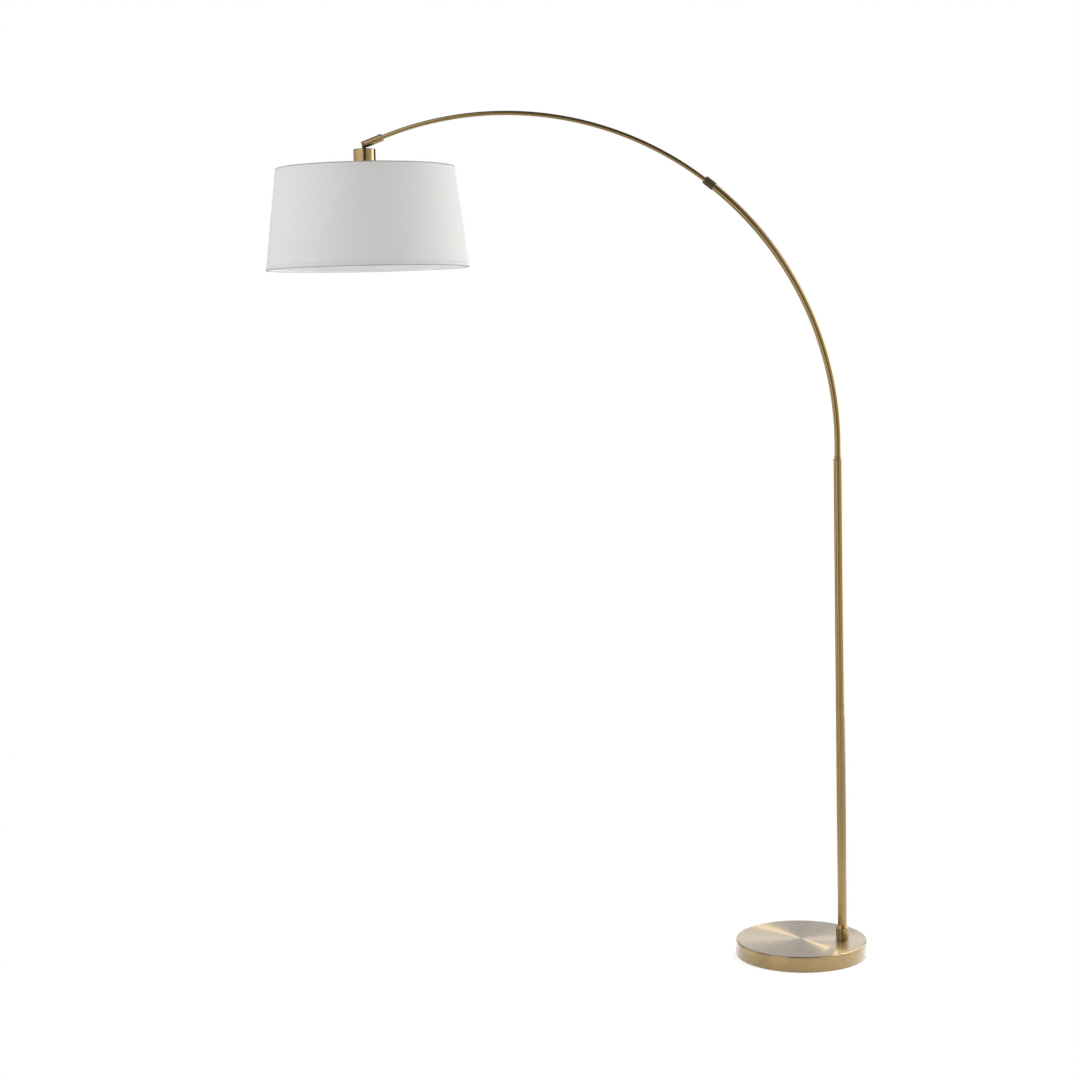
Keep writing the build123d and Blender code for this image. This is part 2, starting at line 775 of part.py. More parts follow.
save(shade_ring_nut, "shade_ring_nut")


def skin_radius(height):
    """Outer radius of the shade's wall at a height above its lower rim."""
    return shade_bottom_radius + (shade_top_radius - shade_bottom_radius) * height / shade_height


wire_inset = shade_skin + wire_radius + 0.2
wire_from_rim = 0.6
arm_inset = 1.5
first_arm_turn = 30.0
top_wire_z = shade_top - wire_radius - wire_from_rim
top_wire_radius = skin_radius(shade_height) - wire_inset
bottom_wire_z = shade_bottom + wire_radius + wire_from_rim
bottom_wire_radius = skin_radius(2 * wire_radius + wire_from_rim) - wire_inset
hub_radius = 30.0
hub_bore = skirt_radius + 0.3

with BuildPart() as shade_spider:
    with BuildSketch(Plane.XY.offset(hub_top - hub_thickness)):
        with Locations((lamp_x, 0)):
            Circle(hub_radius)
            Circle(hub_bore, mode=Mode.SUBTRACT)
    extrude(amount=hub_thickness)
    with BuildSketch(turning_plane(lamp_x)):
        with Locations((top_wire_radius, top_wire_z)):
            Circle(wire_radius)
    revolve(axis=lamp_axis)
    hub_edge = Vector(hub_radius - arm_inset, 0, hub_top - hub_thickness / 2)
    rise = Vector(top_wire_radius, 0, top_wire_z) - hub_edge
    for index in range(spider_arms):
        turn = first_arm_turn + index * 360 / spider_arms
        arm_start = Vector(lamp_x, 0, 0) + hub_edge.rotate(Axis.Z, turn)
        with BuildSketch(Plane(origin=arm_start, z_dir=rise.rotate(Axis.Z, turn))):
            Circle(wire_radius)
        extrude(amount=rise.length)
save(shade_spider, "shade_spider")

with BuildPart() as shade_bottom_wire:
    with BuildSketch(turning_plane(lamp_x)):
        with Locations((bottom_wire_radius, bottom_wire_z)):
            Circle(wire_radius)
    revolve(axis=lamp_axis)
save(shade_bottom_wire, "shade_bottom_wire")

with BuildPart() as shade_wall:
    with BuildSketch(turning_plane(lamp_x)):
        with BuildLine():
            Polyline(
                (shade_bottom_radius - shade_skin, shade_bottom),
                (shade_bottom_radius, shade_bottom),
                (shade_top_radius, shade_top),
                (shade_top_radius - shade_skin, shade_top),
                close=True,
            )
        make_face()
    revolve(axis=lamp_axis)
save(shade_wall, "shade_wall")

# ---------------------------------------------------------------- bulb
cap_radius = 13.2
bulb_contact_z = core_bottom - contact_drop - 0.2
cap_tip_radius = 5.0
cap_tip_height = 2.0
cap_glass_radius = 11.0
cap_glass_height = 4.0
cap_shoulder_height = 5.5
cap_length = 24.0
bulb_length = 108.0
bulb_radius = 30.0
neck_radius = 14.2
neck_length = 8.0
dome_edge = 15.0
dome_z = bulb_contact_z - bulb_length + bulb_radius
rim_z = dome_z + bulb_radius * sin(radians(dome_edge))
rim_radius = bulb_radius * cos(radians(dome_edge))
body_rim_radius = rim_radius - 0.1
body_top = bulb_contact_z - cap_length

with BuildPart() as bulb_cap:
    with BuildSketch(turning_plane(lamp_x)):
        with BuildLine():
            Polyline(
                (0, bulb_contact_z),
                (cap_tip_radius, bulb_contact_z),
                (cap_tip_radius, bulb_contact_z - cap_tip_height),
                (cap_glass_radius, bulb_contact_z - cap_glass_height),
                (cap_radius, bulb_contact_z - cap_shoulder_height),
                (cap_radius, body_top + slip),
                (0, body_top + slip),
                close=True,
            )
        make_face()
    revolve(axis=lamp_axis)
save(bulb_cap, "bulb_cap")

with BuildPart() as bulb_body:
    with BuildSketch(turning_plane(lamp_x)):
        with BuildLine():
            Polyline((0, body_top), (neck_radius, body_top), (neck_radius, body_top - neck_length))
            Spline(
                (neck_radius, body_top - neck_length),
                (body_rim_radius, rim_z + slip),
                tangents=((0, -1), (0.1, -1)),
            )
            Polyline((body_rim_radius, rim_z + slip), (0, rim_z + slip), (0, body_top))
        make_face()
    revolve(axis=lamp_axis)
save(bulb_body, "bulb_body")

with BuildPart() as bulb_dome:
    with BuildSketch(turning_plane(lamp_x)):
        with BuildLine():
            Polyline((0, dome_z - bulb_radius), (0, rim_z), (rim_radius, rim_z))
            CenterArc((0, dome_z), bulb_radius, dome_edge, -90 - dome_edge)
        make_face()
    revolve(axis=lamp_axis)
save(bulb_dome, "bulb_dome")
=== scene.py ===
"""Arc floor lamp in antique brass with a white drum shade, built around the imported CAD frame.

Metres, +Z up, in the CAD's frame: the pole stands on the +X side of the base and the shade
hangs over -X. The arm's circle, the collar and the head's pivot are read from the joints.
"""

import json
from math import acos, atan2, cos, hypot, pi, radians, sin, tan

import bmesh
import bpy
from mathutils import Matrix, Vector


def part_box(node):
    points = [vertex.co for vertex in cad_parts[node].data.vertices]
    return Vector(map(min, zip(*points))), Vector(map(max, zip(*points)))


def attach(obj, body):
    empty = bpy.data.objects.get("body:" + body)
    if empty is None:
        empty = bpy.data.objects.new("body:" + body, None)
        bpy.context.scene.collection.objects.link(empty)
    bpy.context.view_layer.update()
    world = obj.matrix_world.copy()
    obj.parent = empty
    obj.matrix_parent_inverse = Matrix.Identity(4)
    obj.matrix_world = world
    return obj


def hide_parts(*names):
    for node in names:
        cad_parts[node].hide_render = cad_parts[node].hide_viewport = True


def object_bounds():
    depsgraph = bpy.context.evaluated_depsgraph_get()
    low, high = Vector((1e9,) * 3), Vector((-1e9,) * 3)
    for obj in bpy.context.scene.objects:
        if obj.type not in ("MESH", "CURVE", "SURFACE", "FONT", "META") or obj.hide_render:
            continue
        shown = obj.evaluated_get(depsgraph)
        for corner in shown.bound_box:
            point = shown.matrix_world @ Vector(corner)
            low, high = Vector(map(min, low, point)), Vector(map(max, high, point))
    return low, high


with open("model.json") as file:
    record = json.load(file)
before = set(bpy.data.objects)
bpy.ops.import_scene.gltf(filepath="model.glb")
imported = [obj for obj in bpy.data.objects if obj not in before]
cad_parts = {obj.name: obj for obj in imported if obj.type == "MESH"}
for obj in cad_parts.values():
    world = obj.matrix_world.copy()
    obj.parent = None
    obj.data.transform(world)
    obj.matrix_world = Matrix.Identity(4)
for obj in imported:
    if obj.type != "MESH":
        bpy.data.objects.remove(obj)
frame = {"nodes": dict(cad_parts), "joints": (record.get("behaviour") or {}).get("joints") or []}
cad_low, cad_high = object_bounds()
joints = {joint["name"]: joint for joint in frame["joints"]}

MM = 0.001
RIGHT = Vector((1, 0, 0))
BACK = Vector((0, 1, 0))
UP = Vector((0, 0, 1))

# ---------------------------------------------------------------- places
base_middle = Vector((0, 0, 0))
pole_foot = Vector((joints["arm_swivel"]["pos_m"][0], 0, 0))
arc_centre = Vector(joints["arm_extend"]["pos_m"])
arc_radius = pole_foot.x - arc_centre.x
collar_centre = Vector(joints["lock_collar_turn"]["pos_m"])
collar_axis = Vector(joints["lock_collar_turn"]["axis"])
pivot = Vector(joints["shade_tilt"]["pos_m"])
lamp_foot = Vector((pivot.x, 0, 0))
from_centre = pivot - arc_centre
sleeve_angle = atan2(from_centre.z, from_centre.x) - acos(arc_radius / from_centre.length)
sleeve_axis = Vector((-sin(sleeve_angle), 0, cos(sleeve_angle)))
wall_low, wall_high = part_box("shade_wall")

# ---------------------------------------------------------------- camera
CAMERA_PLACE = Vector((-0.1464, -4.6249, 1.3970))
CAMERA_YAW = radians(5.18)
CAMERA_PITCH = radians(-5.64)
CAMERA_ROLL = radians(1.33)
CAMERA_LENS = 70.12
CAMERA_SENSOR = 36.0


def add_camera():
    """A camera in front, at three quarters of the lamp's height. It looks slightly left and
    down, and leans a little."""
    camera = bpy.data.objects.new("camera", bpy.data.cameras.new("camera"))
    camera.data.lens = CAMERA_LENS
    camera.data.sensor_width = CAMERA_SENSOR
    aim = Matrix.Rotation(CAMERA_YAW, 4, "Z") @ Matrix.Rotation(pi / 2 + CAMERA_PITCH, 4, "X")
    roll = Matrix.Rotation(-CAMERA_ROLL, 4, "Z")
    camera.matrix_world = Matrix.Translation(CAMERA_PLACE) @ aim @ roll
    bpy.context.scene.collection.objects.link(camera)
    bpy.context.scene.camera = camera


add_camera()


# ---------------------------------------------------------------- node graphs
# Where most values of a noise lie, and narrower or higher bands of it for single marks.
MOST = (0.3, 0.7)
SPOTS = (0.42, 0.8)
STREAKS = (0.35, 0.75)
SLUBS = (0.35, 0.65)
UPPER = (0.3, 0.8)
# The colour sockets of a Mix node.
MIX_A = 6
MIX_B = 7
MIX_RESULT = 2


class Graph:
    """A material's nodes, with a short call for each kind of node that the finishes use."""

    def __init__(self, name):
        self.material = bpy.data.materials.new(name)
        self.material.use_nodes = True
        self.tree = self.material.node_tree
        self.surface = self.tree.nodes["Principled BSDF"]

    def feed(self, socket, value):
        """Links an output to the socket, or sets the socket to a number, a vector or a colour."""
        if isinstance(value, bpy.types.NodeSocket):
            self.tree.links.new(value, socket)
        elif isinstance(value, (float, int)):
            socket.default_value = value
        else:
            socket.default_value = (*value, 1.0)[: len(socket.default_value)]

    def node(self, kind, inputs, output=0, **settings):
        """Adds a node, feeds its inputs and gives one of its outputs."""
        node = self.tree.nodes.new("ShaderNode" + kind)
        for key, value in settings.items():
            setattr(node, key, value)
        for key, value in inputs.items():
            self.feed(node.inputs[key], value)
        return node.outputs[output]

    def place(self):
        """Where a point is on its piece at rest, in the lamp's frame."""
        return self.node("TexCoord", {}, "Object")

    def parts(self, vector):
        """The X, Y and Z of a vector."""
        split = self.tree.nodes.new("ShaderNodeSeparateXYZ")
        self.feed(split.inputs[0], vector)
        return split.outputs

    def math(self, operation, a, b=0.0):
        return self.node("Math", {0: a, 1: b}, operation=operation)

    def vector(self, operation, a, b=(0, 0, 0)):
        """One step on vectors. A dot product or a length gives a number."""
        output = "Value" if operation in ("DOT_PRODUCT", "LENGTH") else "Vector"
        return self.node("VectorMath", {0: a, 1: b}, output, operation=operation)

    def scaled(self, a, factor):
        return self.node("VectorMath", {0: a, "Scale": factor}, "Vector", operation="SCALE")

    def noise(self, vector, scale, detail=2.0, along=None):
        """Noise from 0 to 1; along is a fourth coordinate, already in noise units."""
        inputs = {"Vector": vector, "Scale": scale, "Detail": detail}
        if along is None:
            return self.node("TexNoise", inputs, "Fac")
        inputs["W"] = along
        return self.node("TexNoise", inputs, "Fac", noise_dimensions="4D")

    def fit(self, value, low, high, out_low=0.0, out_high=1.0):
        """Maps low to high smoothly on out_low to out_high."""
        inputs = {"Value": value, "From Min": low, "From Max": high, "To Min": out_low, "To Max": out_high}
        return self.node("MapRange", inputs, "Result", interpolation_type="SMOOTHSTEP")

    def mix(self, share, a, b):
        """Colour a with a share of colour b."""
        return self.node("Mix", {0: share, MIX_A: a, MIX_B: b}, MIX_RESULT, data_type="RGBA")

    def bump(self, height, distance, strength=1.0):
        """Raises the surface by up to distance, in metres."""
        return self.node("Bump", {"Height": height, "Distance": distance, "Strength": strength}, "Normal")

    def finish(self, **sockets):
        """Sets or links the surface's sockets, named with underscores."""
        for name, value in sockets.items():
            self.feed(self.surface.inputs[name.replace("_", " ")], value)
        return self.material

    def blend_in(self, share, shader):
        """Shows a share of another shader in place of the surface."""
        both = self.node("MixShader", {0: share, 1: self.surface.outputs[0], 2: shader})
        self.tree.links.new(both, self.tree.nodes["Material Output"].inputs["Surface"])


# ---------------------------------------------------------------- turned metal
BRASS = (0.33, 0.228, 0.096)
BRASS_WORN = (0.39, 0.280, 0.125)
BRASS_OXIDE = (0.19, 0.118, 0.045)
BRONZE = (0.105, 0.074, 0.034)
BRONZE_WORN = (0.14, 0.115, 0.060)
BRONZE_OXIDE = (0.035, 0.027, 0.013)
BRASS_COLOURS = (BRASS, BRASS_WORN, BRASS_OXIDE)
BRONZE_COLOURS = (BRONZE, BRONZE_WORN, BRONZE_OXIDE)
MOTTLE_SIZE = 12 * MM
LINE_PITCH = 0.22 * MM
LINE_DEPTH = 0.0018 * MM
BROAD_LINE_PITCH = 9 * LINE_PITCH
WORN_SHARE = 0.45
SPOT_SHARE = 0.12
STREAK_SHARE = 0.25
SMOOTHER_LINES = 0.05
ROUGHER_LINES = 0.06
ROUGHER_SPOTS = 0.02
LACQUER_ROUGHNESS = 0.09
# In turns. A quarter turn lays the brushing along the tangent.
ALONG_TANGENT = 0.25


def about_line(point, axis):
    """How a piece is turned about a straight line, as a function of a graph. It gives the outward
    direction, the distance along the turned profile, and the way round, in which it was brushed."""

    def turning(graph):
        offset = graph.vector("SUBTRACT", graph.place(), point)
        height = graph.vector("DOT_PRODUCT", offset, axis)
        spoke = graph.vector("SUBTRACT", offset, graph.scaled(axis, height))
        radius = graph.vector("LENGTH", spoke)
        outward = graph.vector("NORMALIZE", spoke)
        return outward, graph.math("ADD", height, radius), graph.vector("CROSS_PRODUCT", axis, outward)

    return turning


def about_arm(graph):
    """The same for the arm's bent tubes, whose centre line is a circle in the XZ plane."""
    offset = graph.vector("SUBTRACT", graph.place(), arc_centre)
    ray = graph.vector("NORMALIZE", graph.vector("MULTIPLY", offset, (1, 0, 1)))
    outward = graph.vector("NORMALIZE", graph.vector("SUBTRACT", offset, graph.scaled(ray, arc_radius)))
    parts = graph.parts(ray)
    angle = graph.math("ARCTAN2", parts["Z"], parts["X"])
    centre_line = graph.vector("CROSS_PRODUCT", BACK, ray)
    way_round = graph.vector("CROSS_PRODUCT", centre_line, outward)
    return outward, graph.math("MULTIPLY", angle, arc_radius), way_round


def brushed_metal(name, turning, colours, roughness, anisotropy=0.6, coat=0.35, lines=1.0, wander=0.5):
    """Plated metal, darkened, then brushed round its axis and lacquered. turning is about_arm or
    comes from about_line, and colours are the metal, its worn lines and its oxide. lines is how
    strongly the brushing shows, and wander is how much it changes on the way round."""
    graph = Graph(name)
    outward, along, brushing = turning(graph)
    plain, worn, oxide = colours
    drift = graph.scaled(outward, wander)
    fine = graph.noise(drift, 1.0, 3.0, graph.math("DIVIDE", along, LINE_PITCH))
    broad = graph.noise(drift, 1.0, 2.0, graph.math("DIVIDE", along, BROAD_LINE_PITCH))
    mottle = graph.noise(graph.place(), 1 / MOTTLE_SIZE, 3.0)
    brushed = graph.mix(graph.fit(broad, *MOST, 0.0, WORN_SHARE * lines), plain, worn)
    aged = graph.mix(graph.fit(mottle, *SPOTS, 0.0, SPOT_SHARE), brushed, oxide)
    streaked = graph.mix(graph.fit(fine, *STREAKS, 0.0, STREAK_SHARE * lines), aged, oxide)
    smoothest = roughness - SMOOTHER_LINES * lines
    roughest = roughness + ROUGHER_LINES * lines
    rough = graph.math("ADD", graph.fit(fine, *MOST, smoothest, roughest),
                       graph.fit(mottle, *UPPER, 0.0, ROUGHER_SPOTS))
    tangent = graph.node("VectorTransform", {"Vector": brushing}, vector_type="VECTOR",
                         convert_from="OBJECT", convert_to="WORLD")
    return graph.finish(
        Base_Color=streaked,
        Metallic=1.0,
        Roughness=rough,
        Anisotropic=anisotropy,
        Anisotropic_Rotation=ALONG_TANGENT,
        Tangent=tangent,
        Coat_Weight=coat,
        Coat_Roughness=LACQUER_ROUGHNESS,
        Normal=graph.bump(fine, LINE_DEPTH * lines),
    )


about_base = about_line(base_middle, UP)
about_pole = about_line(pole_foot, UP)
about_lamp = about_line(lamp_foot, UP)
about_collar = about_line(collar_centre, collar_axis)
about_sleeve = about_line(pivot, sleeve_axis)


# ---------------------------------------------------------------- other finishes
GRAINS_IN_CLOUD = 4
GRAIN_SHARE = 0.3
GRAIN_ROUGHNESS = 0.05
FROST_SCALE = 2500.0
FROST_DEPTH = 0.008 * MM
GLASS_CLOUDS = 60.0
GLASS = (0.86, 0.86, 0.85)
GLASS_WARM = (0.90, 0.90, 0.88)


def grained(name, colour, second, roughness, grain, depth, **sockets):
    """A moulded, cast, painted or felted surface: two close colours and a fine grain."""
    graph = Graph(name)
    place = graph.place()
    cloudy = graph.noise(place, 1 / (GRAINS_IN_CLOUD * grain), 3.0)
    fine = graph.noise(place, 1 / grain, 4.0)
    tint = graph.mix(graph.fit(cloudy, *MOST), colour, second)
    return graph.finish(
        Base_Color=graph.mix(graph.fit(fine, *UPPER, 0.0, GRAIN_SHARE), tint, second),
        Roughness=graph.fit(fine, *MOST, roughness - GRAIN_ROUGHNESS, roughness + GRAIN_ROUGHNESS),
        Normal=graph.bump(fine, depth),
        **sockets,
    )


def frosted_glass():
    """White frosted polycarbonate, over the bulb's LEDs."""
    graph = Graph("frosted_glass")
    fine = graph.noise(graph.place(), FROST_SCALE, 3.0)
    cloudy = graph.noise(graph.place(), GLASS_CLOUDS, 2.0)
    return graph.finish(
        Base_Color=graph.mix(graph.fit(cloudy, *MOST), GLASS, GLASS_WARM),
        Roughness=graph.fit(fine, *MOST, 0.30, 0.42),
        Subsurface_Weight=0.5,
        Subsurface_Scale=4 * MM,
        Normal=graph.bump(fine, FROST_DEPTH),
    )


# ---------------------------------------------------------------- shade cloth
THREAD_PITCH = 0.62 * MM
THREAD_HEIGHT = 0.10 * MM
# How much darker the weave is painted in its dips: painted shade between the threads.
WEAVE_DIP_PAINTED_SHADE = 0.25
# Slubs in a metre: across a thread, and along one of either kind. Their height is in threads.
SLUBS_ACROSS = 900
WARP_SLUBS = 28
WEFT_SLUBS = 22
SLUB_HEIGHT = 1.5
CLOTH = (0.93, 0.928, 0.92)
CLOTH_SLUBS_AND_PAINTED_SHADE = (0.88, 0.877, 0.865)
# The hems' folds: a dark cloth along each rim's fold, as painted shade.
FOLD_PAINTED_SHADE = (0.46, 0.44, 0.41)
FOLD_PAINTED_SHADE_SLUBS = (0.40, 0.385, 0.36)
LINING = (0.97, 0.97, 0.965)
LINING_SHADE = (0.95, 0.95, 0.94)
THROUGH_CLOTH = (0.80, 0.78, 0.74)
THROUGH_SHARE = 0.25


def cloth(name, light, dark):
    """Plain-woven cotton with slubs, the weave's dips painted darker as painted shade between the threads. UV
    is metres round the shade and metres up it.
    """
    graph = Graph(name)
    flat = graph.node("TexCoord", {}, "UV")
    parts = graph.parts(flat)
    round_way = graph.math("MULTIPLY", parts["X"], pi / THREAD_PITCH)
    up_way = graph.math("MULTIPLY", parts["Y"], pi / THREAD_PITCH)
    crossing = graph.math("MULTIPLY", graph.math("SINE", round_way), graph.math("SINE", up_way))
    warp_slub = graph.noise(graph.vector("MULTIPLY", flat, (SLUBS_ACROSS, WARP_SLUBS, 0)), 1.0, 3.0)
    weft_slub = graph.noise(graph.vector("MULTIPLY", flat, (WEFT_SLUBS, SLUBS_ACROSS, 0)), 1.0, 3.0)
    slub = graph.math("MULTIPLY", graph.math("ADD", warp_slub, weft_slub), 0.5)
    height = graph.math("ADD", graph.fit(crossing, -1.0, 1.0), graph.math("MULTIPLY", slub, SLUB_HEIGHT))
    shaded = graph.mix(graph.fit(slub, *SLUBS), light, dark)
    material = graph.finish(
        # The dips of the weave are painted darker, as painted shade between the threads.
        Base_Color=graph.mix(graph.fit(crossing, -1.0, 1.0, WEAVE_DIP_PAINTED_SHADE, 0.0), shaded, dark),
        Roughness=graph.fit(slub, *MOST, 0.82, 0.92),
        Sheen_Weight=0.15,
        Sheen_Roughness=0.5,
        Normal=graph.bump(height, THREAD_HEIGHT),
    )
    graph.blend_in(THROUGH_SHARE, graph.node("BsdfTranslucent", {"Color": THROUGH_CLOTH}))
    return material


# ---------------------------------------------------------------- mesh pieces
WELD = 0.001 * MM


def add_mesh(name, points, faces, uvs=None):
    """A smooth-shaded mesh object. uvs holds one pair for each corner of each face."""
    mesh = bpy.data.meshes.new(name)
    mesh.from_pydata(points, [], faces)
    mesh.polygons.foreach_set("use_smooth", [True] * len(faces))
    if uvs is not None:
        layer = mesh.uv_layers.new(name="flat")
        for corner, uv in zip(layer.data, uvs):
            corner.uv = uv
    mesh.update()
    piece = bpy.data.objects.new(name, mesh)
    bpy.context.scene.collection.objects.link(piece)
    return piece


def ring_grid(rows, columns, point):
    """Points and faces of a closed tube of rows by columns: point(row, column) places each."""
    points = [point(row, column) for row in range(rows) for column in range(columns)]
    faces = [
        (
            row * columns + column,
            row * columns + (column + 1) % columns,
            (row + 1) % rows * columns + (column + 1) % columns,
            (row + 1) % rows * columns + column,
        )
        for row in range(rows)
        for column in range(columns)
    ]
    return points, faces


def sharpen(piece, degrees=35):
    """Keeps edges that turn more than this crisp."""
    piece.data.set_sharp_from_angle(angle=radians(degrees))


def weld(piece):
    """Joins the points that meet on the axis, and drops the faces that had no area."""
    shape = bmesh.new()
    shape.from_mesh(piece.data)
    bmesh.ops.remove_doubles(shape, verts=shape.verts, dist=WELD)
    loose = [edge for edge in shape.edges if not edge.link_faces]
    bmesh.ops.delete(shape, geom=loose, context="EDGES")
    shape.to_mesh(piece.data)
    shape.free()


# ---------------------------------------------------------------- shade
# Cloth on a thin white lining. A hem tape holds each rim on its wire.
SHADE_SKIN = 0.9 * MM
SHADE_TAPER = 27.3 * MM
SHADE_ROWS = 24
SHADE_COLUMNS = 360
WIRE_RADIUS = 1.6 * MM
SEAM_WIDTH = 11 * MM
SEAM_FALL = 1.2 * SEAM_WIDTH
SEAM_RISE = 0.45 * MM
# The tape covers HEM_WIDTH outside and, inside, lies on the lining from HEM_LANDS to HEM_INSIDE.
HEM_WIDTH = 9 * MM
HEM_LANDS = 6.5 * MM
HEM_INSIDE = 12.5 * MM
HEM_LIFT = 0.22 * MM
# Its cut edges slope down to a hair above the cloth.
TAPE_EDGE = 0.25 * MM
TAPE_EDGE_LIFT = 0.02 * MM
# It is folded over the rim, and then makes a bead round the wire.
HEM_FOLD = 1.7 * MM
FOLD_SHOULDER = 0.5 * MM
FOLD_SHOULDER_LIFT = 0.7 * HEM_LIFT
FOLD_ROUND = 0.3 * MM
BEAD_RADIUS = 2.1 * MM
BEAD_DEGREES = (-75, -110, -145, -180, -215, -245)
# The shade's pieces have the cloth as their first material, and these after it.
LINING_INDEX = 1
# The fold's rows get the dark cloth, a painted shade along the rim.
FOLD_PAINTED_SHADE_INDEX = 2
wall_height = wall_high.z - wall_low.z
bottom_radius = (wall_high.x - wall_low.x) / 2
top_radius = bottom_radius - SHADE_TAPER


def skin_radius(z):
    """The cloth's outer radius at a height."""
    return bottom_radius + (top_radius - bottom_radius) * (z - wall_low.z) / wall_height


def seam_rise(angle):
    """The cloth's overlap at the back: a step up at one edge, and a gentle fall at the other."""
    away = (angle - pi / 2) * bottom_radius
    if not 0 <= away <= SEAM_WIDTH + SEAM_FALL:
        return 0.0
    fall = max(0.0, min(1.0, (away - SEAM_WIDTH) / SEAM_FALL))
    return SEAM_RISE * (1 - fall * fall * (3 - 2 * fall))


def turned_cloth(name, profile, rise_of):
    """A closed strip turned about the lampholder's axis. profile holds (radius, height) pairs and
    rise_of(row, angle) lifts a point outward."""
    lengths = [0.0]
    for (r0, z0), (r1, z1) in zip(profile, profile[1:] + profile[:1]):
        lengths.append(lengths[-1] + hypot(r1 - r0, z1 - z0))
    rows = len(profile)

    def point(row, column):
        angle = 2 * pi * column / SHADE_COLUMNS
        radius = profile[row][0] + rise_of(row, angle)
        return (lamp_foot.x + radius * cos(angle), radius * sin(angle), profile[row][1])

    points, faces = ring_grid(rows, SHADE_COLUMNS, point)
    step = 2 * pi * bottom_radius / SHADE_COLUMNS
    uvs = []
    for row in range(rows):
        for column in range(SHADE_COLUMNS):
            for over, up in ((0, 0), (1, 0), (1, 1), (0, 1)):
                uvs.append(((column + over) * step, lengths[row + up]))
    return add_mesh(name, points, faces, uvs)


def paint_rows(strip, rows, material_index):
    """Gives some rows of a turned strip another of its materials."""
    for row in rows:
        for face in range(row * SHADE_COLUMNS, (row + 1) * SHADE_COLUMNS):
            strip.data.polygons[face].material_index = material_index


def make_shade():
    """The cloth outside and its lining inside, joined at both rims."""
    heights = [wall_low.z + wall_height * i / SHADE_ROWS for i in range(SHADE_ROWS + 1)]
    outer = [(skin_radius(z), z) for z in heights]
    inner = [(skin_radius(z) - SHADE_SKIN, z) for z in reversed(heights)]

    def rise(row, angle):
        return seam_rise(angle) if row <= SHADE_ROWS else 0.0

    shade = turned_cloth("shade_fabric", outer + inner, rise)
    paint_rows(shade, range(SHADE_ROWS + 1, 2 * SHADE_ROWS + 1), LINING_INDEX)
    return shade


def make_hem(name, rim_z, into, ring_radius, wire_z):
    """Hem tape folded round a rim and its wire; into is +1 where the shade is above the rim."""

    def skin(distance):
        return skin_radius(rim_z + into * distance)

    outside = [
        (skin(HEM_WIDTH) + TAPE_EDGE_LIFT, rim_z + into * (HEM_WIDTH + TAPE_EDGE)),
        (skin(HEM_WIDTH) + HEM_LIFT, rim_z + into * HEM_WIDTH),
        (skin(HEM_WIDTH / 2) + HEM_LIFT, rim_z + into * HEM_WIDTH / 2),
        (skin(HEM_FOLD) + HEM_LIFT, rim_z + into * HEM_FOLD),
        (skin(FOLD_SHOULDER) + FOLD_SHOULDER_LIFT, rim_z + into * FOLD_ROUND),
        (skin(0) - FOLD_ROUND, rim_z - into * FOLD_ROUND),
    ]
    bead = []
    for degrees in BEAD_DEGREES:
        turn = radians(degrees)
        bead.append((ring_radius + BEAD_RADIUS * cos(turn), wire_z + into * BEAD_RADIUS * sin(turn)))
    inside = [
        (skin(HEM_LANDS) - SHADE_SKIN - HEM_LIFT, rim_z + into * HEM_LANDS),
        (skin(HEM_INSIDE) - SHADE_SKIN - HEM_LIFT, rim_z + into * HEM_INSIDE),
        (skin(HEM_INSIDE) - SHADE_SKIN - TAPE_EDGE_LIFT, rim_z + into * (HEM_INSIDE + TAPE_EDGE)),
    ]
    profile = outside + bead + inside
    # The fold runs from HEM_FOLD to the bead and gets a dark cloth, painted shade along the rim; what faces
    # inward matches the lining.
    painted_shade_rows = range(3, len(outside) + 1)
    lined = range(len(outside) + 2, len(profile) - 1)
    if into > 0:
        profile = profile[::-1]
        painted_shade_rows = [len(profile) - 2 - row for row in painted_shade_rows]
        lined = [len(profile) - 2 - row for row in lined]
    hem = turned_cloth(name, profile, lambda row, angle: seam_rise(angle))
    paint_rows(hem, lined, LINING_INDEX)
    paint_rows(hem, painted_shade_rows, FOLD_PAINTED_SHADE_INDEX)
    return hem


def made_of(piece, material, body):
    """Gives a piece its first material, and hangs it on the body that carries it."""
    piece.data.materials.append(material)
    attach(piece, body)


shade_cloth = cloth("shade_cloth", CLOTH, CLOTH_SLUBS_AND_PAINTED_SHADE)
# A dark copy of the cloth for each hem's fold: painted shade along the rim.
hem_fold_painted_shade = cloth("hem_fold_painted_shade", FOLD_PAINTED_SHADE, FOLD_PAINTED_SHADE_SLUBS)
lining = grained("shade_lining", LINING, LINING_SHADE, roughness=0.55, grain=1.2 * MM, depth=0.01 * MM)
shade = make_shade()
sharpen(shade, degrees=60)
made_of(shade, shade_cloth, "lamp_head")
shade.data.materials.append(lining)
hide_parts("shade_wall")

for name, rim_z, into, (ring_low, ring_high) in (
    ("shade_hem_top", wall_high.z, -1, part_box("shade_spider")),
    ("shade_hem_bottom", wall_low.z, 1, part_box("shade_bottom_wire")),
):
    ring_radius = (ring_high.x - ring_low.x) / 2 - WIRE_RADIUS
    hem = make_hem(name, rim_z, into, ring_radius, ring_high.z - WIRE_RADIUS)
    made_of(hem, shade_cloth, "lamp_head")
    hem.data.materials.append(lining)
    hem.data.materials.append(hem_fold_painted_shade)

# ---------------------------------------------------------------- knurled lock collar
COLLAR_RADIUS = 9.25 * MM
KNURL_COUNT = 60
KNURL_STEPS = 4
KNURL_DEPTH = 0.28 * MM
KNURL_FROM = -9.6 * MM
KNURL_TO = 8.2 * MM
